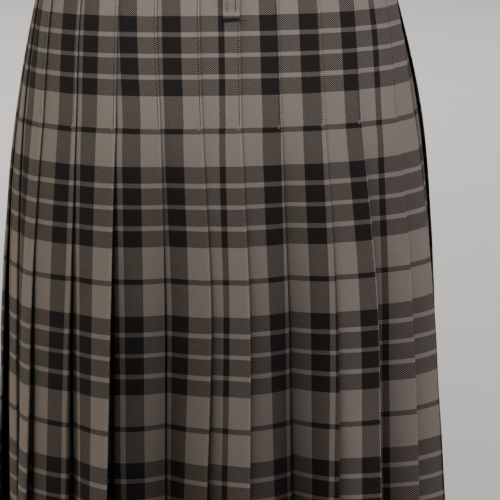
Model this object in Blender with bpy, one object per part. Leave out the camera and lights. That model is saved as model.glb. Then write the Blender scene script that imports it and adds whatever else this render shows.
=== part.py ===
"""A worn tartan kilt without its wearer: pleated back, aprons, waistband, belt loops, straps and buckles.

Metres, +Z up. The origin is the middle of the waist opening, level with the cloth's top edge.
The front faces -Y and the pleated back +Y, and +X is the wearer's left.
Places round the body are arc lengths from the centre back, positive toward the wearer's right.
"""

import bpy
import numpy as np

# Driving sizes
LENGTH = 0.610
FELL = 0.178
BAND_HEIGHT = 0.038
BAND_TURN_IN = 0.020
LOOP_BOTTOM = 0.080
LOOP_WIDTH = 0.0144
LOOP_STAND = 0.0030
STRAP_WIDTH = 0.024
STRAP_STEP = 0.005
BACK_SLACK = 0.0012

WALL = 0.0011
SEAM_GAP = 0.0003
LOOP_WALL = 0.0016
LEATHER = 0.0022
PITCH_AT_FELL = 0.0015
PITCH_AT_HEM = 0.0026

# Half width, half depth behind and half depth in front of the worn body, at depths below the waist
BODY = {
    "depth": (0.0, 0.063, 0.100, 0.180, 0.300, 0.450, 0.610),
    "side": (0.1590, 0.1705, 0.1780, 0.1925, 0.2030, 0.2090, 0.2140),
    "back": (0.1003, 0.1076, 0.1159, 0.1371, 0.1490, 0.1564, 0.1619),
    "front": (0.1000, 0.1040, 0.1080, 0.1150, 0.1210, 0.1270, 0.1320),
}
SQUARENESS = 2.4

# Fold edges of the knife pleats, from the wearer's left to right. The first five columns are the
# edge's place round the body (mm) at each depth of EDGE_DEPTHS. At the hem "lift" is how far the
# edge stands out from the body's curve, "tuck" the same for the start of the pleat's face beside
# the edge before it, and "bow" the swell of the face between them (mm).
EDGE_DEPTHS = (0.0, 0.070, 0.178, 0.350, 0.516)
PLEAT_COLUMNS = ("waist", "loop", "fell", "thigh", "knee", "lift", "tuck", "bow")
PLEATS = (
    (-235.0, -250.0, -265.0, -282.0, -290.0, 6.5, 0.0, 1.5),
    (-201.0, -214.0, -226.0, -240.0, -246.0, -4.0, -8.0, 2.5),
    (-165.0, -176.0, -186.0, -197.0, -202.0, 12.0, -12.0, 2.5),
    (-129.0, -138.0, -145.0, -153.0, -158.0, 2.5, 1.5, 1.5),
    (-94.0, -99.3, -104.4, -109.0, -112.2, 27.0, -9.5, 4.0),
    (-59.0, -63.2, -62.3, -62.6, -65.8, -19.0, 1.5, 6.5),
    (-22.0, -23.7, -23.5, -18.8, -25.0, 9.5, -25.5, 2.5),
    (12.5, 13.5, 12.4, 16.2, 13.5, 20.0, -4.0, 1.5),
    (46.0, 48.9, 49.7, 55.6, 59.3, -21.5, 1.5, 5.5),
    (84.5, 89.0, 91.1, 97.6, 95.9, 17.0, -36.5, 6.5),
    (120.0, 126.5, 129.7, 138.0, 135.6, 19.0, 4.0, 1.5),
    (158.0, 172.6, 176.3, 185.1, 187.1, 11.0, -27.0, 2.5),
    (191.0, 205.0, 213.0, 227.0, 231.0, 14.0, -5.5, 2.0),
    (223.0, 238.0, 250.0, 269.0, 276.0, 2.0, -8.0, 2.5),
    (254.0, 270.0, 287.0, 310.0, 319.0, -2.5, -8.0, 1.5),
)
FIRST_SEAM = (-289.0, -308.0, -325.0, -343.0, -352.0)
UNDER_START = 6.3
LIFT_FULL_DEPTH = 0.560

# The pleated back is joined from four lengths of cloth, each seam at an inner fold
PANELS = {
    "pleats_left_side": (0, 3),
    "pleats_left_back": (4, 7),
    "pleats_right_back": (8, 10),
    "pleats_right_side": (11, 14),
}
DEPTHS = (0.0, 0.038, 0.080, 0.130, 0.178, 0.235, 0.300, 0.370, 0.445, 0.525, 0.610)

# The aprons: the free edge of each, round the body (mm) at the depths of EDGE_DEPTHS
OVER_EDGE = (240.0, 253.0, 271.0, 292.0, 303.0)
UNDER_EDGE = (-350.0, -373.0, -396.0, -416.0, -426.0)
OVER_STAND = 0.0056
UNDER_INSET = 0.0020
STAND_EASE = 0.040
APRON_COLUMNS = 26
APRON_WAVES = {"count": 3.0, "over": 0.0030, "under": 0.0015}

LOOP_PLACES = {"loop_back": 0.0058, "loop_front_left": -0.345, "loop_front_right": 0.345}

# Straps and buckles. Places are arc lengths from the centre back, or from the buckle where said
STRAP_DEPTH = 0.019
BUCKLE_PLACE = 0.198
STRAP_STARTS = {"right": 0.288, "left": 0.262}
APRON_STEP = (0.252, 0.232, 0.224)
STRAP_RISE = (0.019, 0.009)
STRAP_TIP = (-0.036, -0.048, -0.054)
TAB_SPAN = (0.002, -0.014, -0.032)
BUCKLE_ROD = 0.0016
BUCKLE_REACH = 0.0105
BUCKLE_OVERLAP = 0.0045
BUCKLE_ROUND = 0.0045
TONGUE = {"reach": 0.0115, "half_width": 0.0014, "thick": 0.0022}
KEEPER = {"place": -0.030, "half_length": 0.0035, "wall": 0.0014, "foot": 0.004}

TARTAN_GREY = (0.20, 0.18, 0.165, 1.0)
LEATHER_BLACK = (0.018, 0.016, 0.015, 1.0)
NICKEL = (0.62, 0.61, 0.60, 1.0)


def smooth(x, xs, values):
    """A curve through the values at xs, with the slopes of their neighbours, straight beyond the last."""
    xs = np.asarray(xs, float)
    values = np.asarray(values, float)
    slopes = np.gradient(values, xs)
    i = int(np.clip(np.searchsorted(xs, x) - 1, 0, len(xs) - 2))
    step = xs[i + 1] - xs[i]
    t = (x - xs[i]) / step
    if t > 1.0:
        return values[-1] + slopes[-1] * (x - xs[-1])
    rise = values[i + 1] - values[i]
    bend = slopes[i] * step * t * (1 - t) ** 2 - slopes[i + 1] * step * t**2 * (1 - t)
    return values[i] + rise * t**2 * (3 - 2 * t) + bend


def body_curve(depth):
    """The body's outline at a depth: arc lengths from the centre back, points and outward normals."""
    side, back, front = (smooth(depth, BODY["depth"], BODY[key]) for key in ("side", "back", "front"))
    angle = np.linspace(-np.pi, np.pi, 2881)
    sine, cosine = np.sin(angle), np.cos(angle)
    power = 2 / SQUARENESS
    half_depth = np.where(cosine > 0, back, front)
    x = -side * np.sign(sine) * np.abs(sine) ** power
    y = half_depth * np.sign(cosine) * np.abs(cosine) ** power
    arc = np.concatenate([[0.0], np.cumsum(np.hypot(np.diff(x), np.diff(y)))])
    arc -= arc[len(arc) // 2]
    slope_x, slope_y = np.gradient(x, arc), np.gradient(y, arc)
    size = np.hypot(slope_x, slope_y)
    return arc, np.stack([x, y], 1), np.stack([slope_y, -slope_x], 1) / size[:, None]


def place(around, relief, depth):
    """Points at arc lengths around the body and heights of relief over it, all at one depth."""
    arc, points, normals = body_curve(depth)
    whole = arc[-1] - arc[0]
    at = (np.asarray(around, float) - arc[0]) % whole + arc[0]
    xy = [np.interp(at, arc, points[:, i]) + relief * np.interp(at, arc, normals[:, i]) for i in (0, 1)]
    return np.stack([*xy, np.full(len(at), -depth)], 1)


def girth(depth):
    arc = body_curve(depth)[0]
    return arc[-1] - arc[0]


def pitch(depth):
    """The distance from one layer of a pleat to the next: pressed flat to the fell, loose at the hem."""
    fall = max(0.0, (depth - FELL) / (LENGTH - FELL))
    return PITCH_AT_FELL + (PITCH_AT_HEM - PITCH_AT_FELL) * fall


def swing(depth):
    """How far the pleats have swung out: none to the fell, all of it near the hem."""
    fall = max(0.0, (depth - FELL) / (LIFT_FULL_DEPTH - FELL))
    return fall**0.9 if fall < 1.0 else 1.0 + 0.4 * (fall - 1.0)


class Ring:
    """The folded cloth of the pleated back at one depth, as layers one over another."""

    def __init__(self, depth):
        self.depth = depth
        self.pitch = pitch(depth)
        self.swing = swing(depth)
        rows = [dict(zip(PLEAT_COLUMNS, row)) for row in PLEATS]
        self.edges = [smooth(depth, EDGE_DEPTHS, FIRST_SEAM) / 1000]
        self.edges += [smooth(depth, EDGE_DEPTHS, row[:5]) / 1000 for row in PLEATS]
        self.edges.append(self.edges[-1] + UNDER_START / 1000 - SEAM_GAP)
        self.lift = [row["lift"] * self.swing / 1000 for row in rows]
        self.bow = [row["bow"] * self.swing / 1000 for row in rows]
        self.tuck = [self.lift[0]]
        for before, row in zip(self.lift, rows[1:]):
            self.tuck.append(min(row["tuck"] * self.swing / 1000, before - 2 * self.pitch))
        last = self.lift[-1] - 2 * self.pitch
        self.lift.append(last)
        self.tuck.append(last)
        self.bow.append(0.0)

    def around(self, pleat, back, share):
        """The place of a share of the zone that lies so many pleats back."""
        zone = pleat - back
        return self.edges[zone] + (self.edges[zone + 1] - self.edges[zone]) * share

    def face(self, pleat, back, share):
        """The relief of a pleat's face, and of its tucked part, under one or two pleats before it."""
        if back == 0:
            swell = 4 * self.bow[pleat] * share * (1 - share)
            return self.tuck[pleat] + (self.lift[pleat] - self.tuck[pleat]) * share + swell
        if back == 1:
            step = self.lift[pleat - 1] - self.tuck[pleat]
            drop = 2 * self.pitch + (step - 2 * self.pitch) * share
            return self.face(pleat - 1, 0, share) - drop
        return self.face(pleat - 1, 1, share) - 2 * self.pitch

    def under(self, pleat, back, share):
        """The relief of the layer running back under the face, above the next pleat's tucked part."""
        upper = self.face(pleat, back, share)
        spare = upper - self.face(pleat + 1, back + 1, share) - 2 * self.pitch
        ease = 0.5 * min(1.0, 2 * (1 - share)) if back == 0 else 0.5
        return upper - self.pitch - spare * ease

    def path(self, first, last):
        """The cloth's middle line through the pleats first to last, as (around, relief) points."""
        points = []
        for pleat in range(first, last + 1):
            tucked = {0: [], 1: [(1, 0.15), (1, 0.5)]}.get(pleat, [(2, 0.5), (1, 0.0), (1, 0.5)])
            shown = [(0, 0.0), (0, 0.5), (0, 1.0)]
            back_run = [(0, 1.0), (0, 0.5), (0, 0.0), (1, 0.5)]
            if pleat == 0:
                shown.insert(1, (0, 0.15))
                back_run = [(0, 1.0), (0, 0.5), (0, 0.15)]
            points += [(self.around(pleat, *at), self.face(pleat, *at)) for at in tucked + shown]
            points.append((self.edges[pleat + 1] + self.pitch / 2, self.lift[pleat] - self.pitch / 2))
            points += [(self.around(pleat, *at), self.under(pleat, *at)) for at in back_run]
            if pleat < last or pleat == len(PLEATS) - 1:
                inner = points[-1][0] - self.pitch / 2
                points.append((inner, points[-1][1] - self.pitch / 2))
        if last == len(PLEATS) - 1:
            end = len(PLEATS)
            tucked = [(2, 0.5), (1, 0.0), (1, 0.5)]
            points += [(self.around(end, *at), self.face(end, *at)) for at in tucked]
            points.append((self.edges[end], self.face(end, 0, 0.0)))
            points.append((self.edges[end + 1], self.face(end, 0, 1.0)))
        return np.array(points)


def mitred(line):
    """Side vectors along a line of points at one depth, lengthened at the corners, to the left of its way."""
    way = np.diff(line[:, :2], axis=0)
    way /= np.linalg.norm(way, axis=1)[:, None]
    side = np.stack([-way[:, 1], way[:, 0]], 1)
    before = np.vstack([side[:1], side])
    after = np.vstack([side, side[-1:]])
    both = before + after
    both /= np.linalg.norm(both, axis=1)[:, None]
    both /= np.maximum(0.6, (both * after).sum(1))[:, None]
    return np.column_stack([both, np.zeros(len(both))])


def material(name, colour, roughness, metallic=0.0):
    made = bpy.data.materials.new(name)
    made.use_nodes = True
    shader = made.node_tree.nodes["Principled BSDF"]
    shader.inputs["Base Color"].default_value = colour
    shader.inputs["Roughness"].default_value = roughness
    shader.inputs["Metallic"].default_value = metallic
    return made


def solid(name, points, faces, finish):
    """One closed body from points and faces, turned so that its faces point out."""
    mesh = bpy.data.meshes.new(name)
    mesh.from_pydata([tuple(p) for p in points], [], faces)
    mesh.update()
    mesh.calc_loop_triangles()
    corners = np.array([[mesh.vertices[i].co for i in t.vertices] for t in mesh.loop_triangles])
    if np.linalg.det(corners).sum() < 0:
        mesh.flip_normals()
    mesh.shade_smooth()
    mesh.set_sharp_from_angle(angle=np.radians(40))
    mesh.materials.append(finish)
    made = bpy.data.objects.new(name, mesh)
    bpy.context.scene.collection.objects.link(made)
    return made


def thick_sheet(name, middle, sides, wall, finish, backward=None):
    """A wall of cloth over a grid of middle points, half its thickness to each side of them.

    backward marks the columns that run back the other way, whose facets are split so that
    layers lying on each other stay parallel.
    """
    rows, columns = middle.shape[:2]
    outer = (middle + sides * wall / 2).reshape(-1, 3)
    inner = (middle - sides * wall / 2).reshape(-1, 3)
    under = rows * columns

    faces = []
    for i in range(rows - 1):
        for j in range(columns - 1):
            near, far = i * columns + j, (i + 1) * columns + j
            corners = (near, far, far + 1, near + 1)
            if backward is not None and backward[j]:
                corners = corners[1:] + corners[:1]
            a, b, c, d = corners
            faces += [(a, b, c), (a, c, d)]
            faces += [(a + under, c + under, b + under), (a + under, d + under, c + under)]
    rim = [(0, j) for j in range(columns)]
    rim += [(i, columns - 1) for i in range(1, rows)]
    rim += [(rows - 1, j) for j in range(columns - 2, -1, -1)]
    rim += [(i, 0) for i in range(rows - 2, 0, -1)]
    ids = [i * columns + j for i, j in rim]
    for a, b in zip(ids, ids[1:] + ids[:1]):
        faces.append((a, b, b + under, a + under))
    return solid(name, np.vstack([outer, inner]), faces, finish)


def pleated_panels(finish):
    rings = [Ring(depth) for depth in DEPTHS]
    for name, (first, last) in PANELS.items():
        lines = []
        for ring in rings:
            path = ring.path(first, last)
            lines.append(place(path[:, 0], path[:, 1], ring.depth))
        sides = [mitred(line) for line in lines]
        backward = np.diff(path[:, 0]) < 0
        thick_sheet(name, np.array(lines), np.array(sides), WALL, finish, backward)


def ends_of_over(depth):
    """The over-apron's seam at the wearer's left and its free edge, counted on round the front."""
    seam = smooth(depth, EDGE_DEPTHS, FIRST_SEAM) / 1000 - SEAM_GAP
    edge = smooth(depth, EDGE_DEPTHS, OVER_EDGE) / 1000 - girth(depth)
    return seam, edge


def ends_of_under(depth):
    """The under-apron's seam beside the last pleat and its free edge, counted on round the front."""
    seam = smooth(depth, EDGE_DEPTHS, PLEATS[-1][:5]) / 1000 + UNDER_START / 1000
    edge = smooth(depth, EDGE_DEPTHS, UNDER_EDGE) / 1000 + girth(depth)
    return seam, edge


def eased(x):
    x = np.clip(x, 0.0, 1.0)
    return x * x * (3 - 2 * x)


def over_relief(run, depth):
    """The over-apron stands out from its seam on, to lie over the band and pleats at its free edge."""
    seam, edge = ends_of_over(depth)
    share = run / abs(edge - seam)
    wave = APRON_WAVES["over"] * swing(depth) * np.sin(APRON_WAVES["count"] * np.pi * share) ** 2
    start = PLEATS[0][PLEAT_COLUMNS.index("lift")] * swing(depth) / 1000
    rise = eased(run / STAND_EASE)
    return start * (1 - rise) + OVER_STAND * rise + wave * eased((1 - share) * 6)


def under_relief(run, depth):
    seam, edge = ends_of_under(depth)
    share = run / abs(edge - seam)
    start = PLEATS[-1][PLEAT_COLUMNS.index("lift")] * swing(depth) / 1000 - 2 * pitch(depth)
    rise = eased(run / STAND_EASE)
    wave = APRON_WAVES["under"] * swing(depth) * np.sin(np.pi * share) ** 2
    return start * (1 - rise) - UNDER_INSET * rise - wave


APRONS = {"over_apron": (ends_of_over, over_relief), "under_apron": (ends_of_under, under_relief)}


def apron_line(name, depth, relief_added=0.0, shares=None):
    ends, relief = APRONS[name]
    seam, edge = ends(depth)
    shares = np.linspace(0, 1, APRON_COLUMNS) if shares is None else shares
    run = abs(edge - seam) * shares
    return place(seam + (edge - seam) * shares, relief(run, depth) + relief_added, depth)


def aprons(finish):
    for name in APRONS:
        lines = [apron_line(name, depth) for depth in DEPTHS]
        thick_sheet(name, np.array(lines), np.array([mitred(line) for line in lines]), WALL, finish)


def stack_depth():
    """How far in the pleats' layers reach at the waist, to the middle of the innermost."""
    return 6 * PITCH_AT_FELL


def band(name, line_at, outer, inner, finish):
    """A strip folded over the top edge: line_at(depth, relief) gives its points round the body."""
    top = -(WALL / 2 + SEAM_GAP)
    steps = ((BAND_HEIGHT, outer), (top, outer), (top, inner), (BAND_TURN_IN, inner))
    lines = []
    for depth, relief in steps:
        line = line_at(max(depth, 0.0), relief)
        line[:, 2] = -depth
        lines.append(line)
    middle = np.array(lines)
    out = mitred(lines[0])
    if np.sum(out[:, :2] * lines[0][:, :2]) < 0:
        out = -out
    up = np.array([0.0, 0.0, 1.0])
    sides = np.array([out, out + up, -out + up, -out])
    thick_sheet(name, middle, sides, WALL, finish)


def waistband(finish):
    clear = WALL + SEAM_GAP
    for name, apron in (("band_over", "over_apron"), ("band_under", "under_apron")):
        band(name, lambda depth, relief: apron_line(apron, depth, relief), clear, -clear, finish)

    def back_line(depth, relief):
        knots = Ring(depth).edges
        zones = np.arange(len(knots))
        shares = np.concatenate([[0.0, 0.15, 0.5], np.arange(1, len(knots) - 2, 1 / 3), zones[-2:]])
        return place(np.interp(shares, zones, knots), relief, depth)

    band("band_back", back_line, clear, -stack_depth() - clear - BACK_SLACK, finish)


def on_wall(around, relief, depth):
    """Points over the cloth, which runs straight from ring to ring. around is counted at the waist."""
    i = int(np.clip(np.searchsorted(DEPTHS, depth) - 1, 0, len(DEPTHS) - 2))
    above, below = DEPTHS[i : i + 2]
    around = np.asarray(around, float)
    top = place(around * girth(above) / girth(0.0), relief, above)
    low = place(around * girth(below) / girth(0.0), relief, below)
    return top + (low - top) * (depth - above) / (below - above)


def top_relief(around):
    """The outer face of the waistband at a place round the body, at the top."""
    seam, edge = ends_of_over(0.0)
    whole = girth(0.0)
    run = seam - around if around < seam else seam - (around - whole)
    if run > abs(edge - seam):
        return WALL * 1.5 + SEAM_GAP
    return float(over_relief(np.array([run]), 0.0)[0]) + WALL * 1.5 + SEAM_GAP


def belt_loops(finish):
    """A strap of folded cloth, sewn on the waistband's top edge and under the band, standing off between."""
    for name, around in LOOP_PLACES.items():
        base = top_relief(around)
        close = LOOP_WALL / 2 + SEAM_GAP
        below = base - WALL - SEAM_GAP
        steps = (
            (0.0005, base + close),
            (0.006, base + close),
            (0.016, base + close + LOOP_STAND * 0.8),
            (0.032, base + close + LOOP_STAND),
            (0.050, below + close + LOOP_STAND * 1.2),
            (0.066, below + close + LOOP_STAND * 0.8),
            (LOOP_BOTTOM - 0.007, below + close),
            (LOOP_BOTTOM, below + close),
        )
        across = np.linspace(-LOOP_WIDTH / 2, LOOP_WIDTH / 2, 4)
        lines = [on_wall(around + across, relief, depth) for depth, relief in steps]
        out = place(around + across, base + 0.01, 0.0) - place(around + across, base, 0.0)
        sides = np.array([out / 0.01] * len(lines))
        thick_sheet(name, np.array(lines), sides, LOOP_WALL, finish)


def strap_strip(name, steps, half_width, finish, wall=LEATHER, tip=False):
    """A level strap: steps are (place round the body, relief of its middle), and tip points its last end."""
    knots = np.array(steps)
    length = abs(knots[-1, 0] - knots[0, 0])
    run = np.linspace(0, length, max(3, int(length / STRAP_STEP)))
    relief = np.interp(run, abs(knots[:, 0] - knots[0, 0]), knots[:, 1])
    around = knots[0, 0] + run * np.sign(knots[-1, 0] - knots[0, 0])
    middle = on_wall(around, relief, STRAP_DEPTH)
    sides = mitred(middle)
    if np.sum(sides[:, :2] * middle[:, :2]) < 0:
        sides = -sides
    widths = np.ones(len(run))
    if tip:
        widths[-1] *= 0.25
        widths[-2] *= 0.85
    edges = [on_wall(around, relief, STRAP_DEPTH + half_width * side) for side in (-1.0, 0.0, 1.0)]
    lines = [middle + (edge - middle) * widths[:, None] for edge in edges]
    thick_sheet(name, np.array(lines), np.array([sides] * 3), wall, finish)


def rod_loop(name, corners, radius, finish, sides=8):
    """A closed rod of round section along a loop of points."""
    corners = np.array(corners)
    ahead = np.roll(corners, -1, 0) - corners
    behind = corners - np.roll(corners, 1, 0)
    way = ahead / np.linalg.norm(ahead, axis=1)[:, None] + behind / np.linalg.norm(behind, axis=1)[:, None]
    way /= np.linalg.norm(way, axis=1)[:, None]
    flat = np.cross(corners[1] - corners[0], corners[len(corners) // 3] - corners[0])
    flat /= np.linalg.norm(flat)
    outward = np.cross(way, flat)
    turn = np.linspace(0, 2 * np.pi, sides, endpoint=False)
    rings = corners[:, None] + radius * (
        np.cos(turn)[None, :, None] * outward[:, None] + np.sin(turn)[None, :, None] * flat[None, None]
    )
    count = len(corners)
    faces = []
    for i in range(count):
        for j in range(sides):
            k, m = (i + 1) % count, (j + 1) % sides
            faces.append((i * sides + j, k * sides + j, k * sides + m, i * sides + m))
    return solid(name, rings.reshape(-1, 3), faces, finish)


def buckle_point(side, along, relief, up=0.0):
    """A point by the buckle: along is toward the front, up is above the strap's middle."""
    return on_wall([side * (BUCKLE_PLACE + along)], relief, STRAP_DEPTH - up)[0]


def strap_set(word, side, leather, metal):
    """The strap from the front, its buckle on a tab, and its keeper. side is 1 on the wearer's right."""
    face = WALL * 1.5 + 2 * SEAM_GAP
    low = face + LEATHER / 2
    high = low + LEATHER + 2 * SEAM_GAP
    half = STRAP_WIDTH / 2
    start = STRAP_STARTS[word]
    rise_start, rise_end = STRAP_RISE
    tip_flat, tip_bent, tip_end = STRAP_TIP
    if side > 0:
        flat_place, edge_place, foot_place = APRON_STEP
        over = top_relief(flat_place) + SEAM_GAP + LEATHER / 2
        steps = [(start, over), (edge_place, over), (foot_place, low + LEATHER)]
    else:
        steps = [(start, low), (APRON_STEP[-1], low)]
    steps += [
        (BUCKLE_PLACE + rise_start, low + 0.0004),
        (BUCKLE_PLACE + rise_end, high),
        (BUCKLE_PLACE, high),
        (BUCKLE_PLACE + tip_flat, high),
        (BUCKLE_PLACE + tip_bent, high - 0.0006),
        (BUCKLE_PLACE + tip_end, high - 0.0008),
    ]
    strap_strip(f"strap_{word}", [(side * a, r) for a, r in steps], half, leather, tip=True)
    tab = [(side * (BUCKLE_PLACE + along), low) for along in TAB_SPAN]
    strap_strip(f"buckle_tab_{word}", tab, half * 0.92, leather)

    height = half + BUCKLE_OVERLAP
    rod_relief = high + LEATHER / 2 + SEAM_GAP + BUCKLE_ROD
    corners = []
    for quarter in range(4):
        middle_along = (BUCKLE_REACH - BUCKLE_ROUND) * (1 if quarter in (0, 3) else -1)
        middle_up = (height - BUCKLE_ROUND) * (1 if quarter in (0, 1) else -1)
        for turn in quarter * np.pi / 2 + np.linspace(0, np.pi / 2, 4):
            along = middle_along + BUCKLE_ROUND * np.cos(turn)
            up = middle_up + BUCKLE_ROUND * np.sin(turn)
            corners.append(buckle_point(side, along, rod_relief, up))
    rod_loop(f"buckle_{word}", corners, BUCKLE_ROD, metal)
    tongue_relief = rod_relief + BUCKLE_ROD + SEAM_GAP + TONGUE["thick"] / 2
    tongue = [(side * (BUCKLE_PLACE + TONGUE["reach"] * along), tongue_relief) for along in (1, 0, -1)]
    strap_strip(f"buckle_tongue_{word}", tongue, TONGUE["half_width"], metal, wall=TONGUE["thick"])
    keeper(f"keeper_{word}", side, face + SEAM_GAP, high + LEATHER / 2 + SEAM_GAP, half, leather)


def keeper(name, side, low, high, half, finish):
    """A leather bridge over the strap's end, its feet on the waistband above and below the strap."""
    wall = KEEPER["wall"]
    over = half + SEAM_GAP + wall / 2
    steps = (
        (over + KEEPER["foot"], low + wall / 2),
        (over + 0.0004, low + wall / 2 + 0.0004),
        (over, high),
        (over - 0.0012, high + wall / 2),
        (0.0, high + wall / 2),
        (-over + 0.0012, high + wall / 2),
        (-over, high),
        (-over - 0.0004, low + wall / 2 + 0.0004),
        (-over - KEEPER["foot"], low + wall / 2),
    )
    along = KEEPER["place"] + KEEPER["half_length"] * np.array([-1.0, 1.0])
    around = side * (BUCKLE_PLACE + along)
    out = on_wall(around, 1.0, STRAP_DEPTH) - on_wall(around, 0.0, STRAP_DEPTH)
    lines, sides = [], []
    line = np.array(steps)
    way = np.gradient(line, axis=0)
    way /= np.linalg.norm(way, axis=1)[:, None]
    for (up, relief), (rise, swell) in zip(steps, way):
        lines.append(on_wall(around, relief, STRAP_DEPTH - up))
        sides.append(-rise * out + np.array([0.0, 0.0, swell]))
    thick_sheet(name, np.array(lines), np.array(sides), wall, finish)


def main():
    for old in list(bpy.data.objects):
        bpy.data.objects.remove(old)
    tartan = material("tartan", TARTAN_GREY, 0.85)
    leather = material("strap_leather", LEATHER_BLACK, 0.45)
    metal = material("buckle_metal", NICKEL, 0.25, 1.0)
    pleated_panels(tartan)
    aprons(tartan)
    waistband(tartan)
    belt_loops(tartan)
    strap_set("right", 1, leather, metal)
    strap_set("left", -1, leather, metal)


main()
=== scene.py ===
import bpy
import numpy as np
from mathutils import Matrix


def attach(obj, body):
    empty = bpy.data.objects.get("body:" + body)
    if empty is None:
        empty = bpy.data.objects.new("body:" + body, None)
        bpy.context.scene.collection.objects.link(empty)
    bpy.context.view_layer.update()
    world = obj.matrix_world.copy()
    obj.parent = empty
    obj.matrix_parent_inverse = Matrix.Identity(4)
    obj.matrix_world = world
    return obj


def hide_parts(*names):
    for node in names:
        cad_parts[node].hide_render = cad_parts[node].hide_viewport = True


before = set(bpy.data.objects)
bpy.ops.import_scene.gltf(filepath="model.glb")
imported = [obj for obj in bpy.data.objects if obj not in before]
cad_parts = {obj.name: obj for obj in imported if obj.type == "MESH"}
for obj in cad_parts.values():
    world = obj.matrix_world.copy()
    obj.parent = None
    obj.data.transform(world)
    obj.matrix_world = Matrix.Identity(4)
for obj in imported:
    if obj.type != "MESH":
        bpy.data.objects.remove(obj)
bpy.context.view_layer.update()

# Metres, but for the tables that say mm. Places round the body are arc lengths from the centre
# back, positive toward the wearer's right, and depths are counted down from the waist.
body = {
    "depth": [0.0, 0.063, 0.100, 0.180, 0.300, 0.450, 0.610],
    "side": [0.1590, 0.1705, 0.1780, 0.1925, 0.2030, 0.2090, 0.2140],
    "back": [0.1003, 0.1076, 0.1159, 0.1371, 0.1490, 0.1564, 0.1619],
    "front": [0.1000, 0.1040, 0.1080, 0.1150, 0.1210, 0.1270, 0.1320],
    "squareness": 2.4,
    "length": 0.610,
    "fell": 0.178,  # the pleats are sewn down to here
}

# The woven check: half of one repeat, as the ends of its stripes counted from the middle of the
# thin dark line. The cloth is eased in toward the waist, above easedTo.
sett = {
    "repeat": 150.7,
    "acrossUnit": 0.00099,
    "downUnit": 0.000918,
    "downZero": 0.1806,
    "darkTo": [2.6, 51.5, 73.1],
    "lightTo": [35.0, 56.0],
    "warpPerUnit": 1.92,
    "weftPerUnit": 1.78,
    "easedTo": 0.215,
    "easing": 0.167,
}


def curveThrough(x, xs, values):
    # A cubic curve through the values at xs with the mean slopes of their neighbours, straight
    # beyond the last
    x, xs, values = (np.asarray(a, float) for a in (x, xs, values))
    slopes = np.gradient(values, xs, axis=0)
    i = np.clip(np.searchsorted(xs, x) - 1, 0, len(xs) - 2)
    step = xs[i + 1] - xs[i]
    t = (x - xs[i]) / step
    past = x - xs[-1]
    if values.ndim == 2:
        step, t, past = step[:, None], t[:, None], past[:, None]
    within = values[i] + (values[i + 1] - values[i]) * t**2 * (3 - 2 * t)
    within = within + slopes[i] * step * t * (1 - t) ** 2 - slopes[i + 1] * step * t**2 * (1 - t)
    return np.where(t > 1, values[-1] + slopes[-1] * past, within)


def unit(vectors):
    size = np.linalg.norm(vectors, axis=-1, keepdims=True)
    return vectors / np.maximum(size, 1e-12)


def runAlong(points):
    # The distance run along a line of points, from 0 at its first
    steps = np.linalg.norm(np.diff(points, axis=-2), axis=-1)
    return np.insert(np.cumsum(steps, axis=-1), 0, 0.0, axis=-1)


def ringsRound(way, up, sides):
    # Unit directions round each point of a spine: cos(turn) side + sin(turn) top, square to its way
    side = unit(np.cross(way, up))
    top = np.cross(side, way)
    turn = np.linspace(0, 2 * np.pi, sides, endpoint=False)[:, None]
    return np.cos(turn) * side[..., None, :] + np.sin(turn) * top[..., None, :]


def placed(name, data):
    made = bpy.data.objects.new(name, data)
    bpy.context.scene.collection.objects.link(made)
    return made


def outlineAt(depth):
    # A superellipse, deeper behind than in front: |x/side|^n + |y/deep|^n = 1
    sections = (curveThrough(depth, body["depth"], body[key]) for key in ("side", "back", "front"))
    side, back, front = map(float, sections)
    angle = np.linspace(-np.pi, np.pi, 2881)
    sine, cosine = np.sin(angle), np.cos(angle)
    power = 2 / body["squareness"]
    x = -side * np.sign(sine) * np.abs(sine) ** power
    y = np.where(cosine > 0, back, front) * np.sign(cosine) * np.abs(cosine) ** power
    arc = runAlong(np.stack([x, y], 1))
    arc -= arc[len(arc) // 2]
    outX, outY = np.gradient(y, arc), -np.gradient(x, arc)
    size = np.hypot(outX, outY)
    return arc, x, y, outX / size, outY / size


def wrapRow(around, relief, depth):
    # One row of points at arc lengths round the body and heights over it
    arc, x, y, outX, outY = outlineAt(depth)
    whole = arc[-1] - arc[0]
    at = (around - arc[0]) % whole + arc[0]
    px = np.interp(at, arc, x) + relief * np.interp(at, arc, outX)
    py = np.interp(at, arc, y) + relief * np.interp(at, arc, outY)
    return np.stack([px, py, np.full(len(px), -depth)], 1)


def wrap(around, relief, depth):
    # A grid of points, one row for each depth
    depth = np.asarray(depth, float)
    shape = np.broadcast(around, relief, depth[:, None]).shape
    around, relief = np.broadcast_to(around, shape), np.broadcast_to(relief, shape)
    return np.array([wrapRow(*row) for row in zip(around, relief, depth)])


def lineOut(place):
    # A line on the cloth and its unit directions outward. place(rise) gives it that far off the cloth.
    line = place(0.0)
    return line, unit(place(0.01) - line)


def girthAt(depth):
    return np.array([np.ptp(outlineAt(d)[0]) for d in np.atleast_1d(depth)])


def bell(x):
    return np.exp(-(x**2))  # e^-x^2


def eased(x):
    # x^2 (3 - 2x), from 0 at 0 to 1 at 1
    x = np.clip(x, 0.0, 1.0)
    return x * x * (3 - 2 * x)


def swingAt(depth):
    # How far the pleats have swung open: nothing to the fell, all of it near the knee, as the share
    # of the way there to a power, and more slowly on from there
    fall = np.maximum(0.0, (depth - body["fell"]) / (pleats["openBy"] - body["fell"]))
    return np.where(fall < 1, fall ** pleats["openPower"], 1 + pleats["openBeyond"] * (fall - 1))


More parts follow.
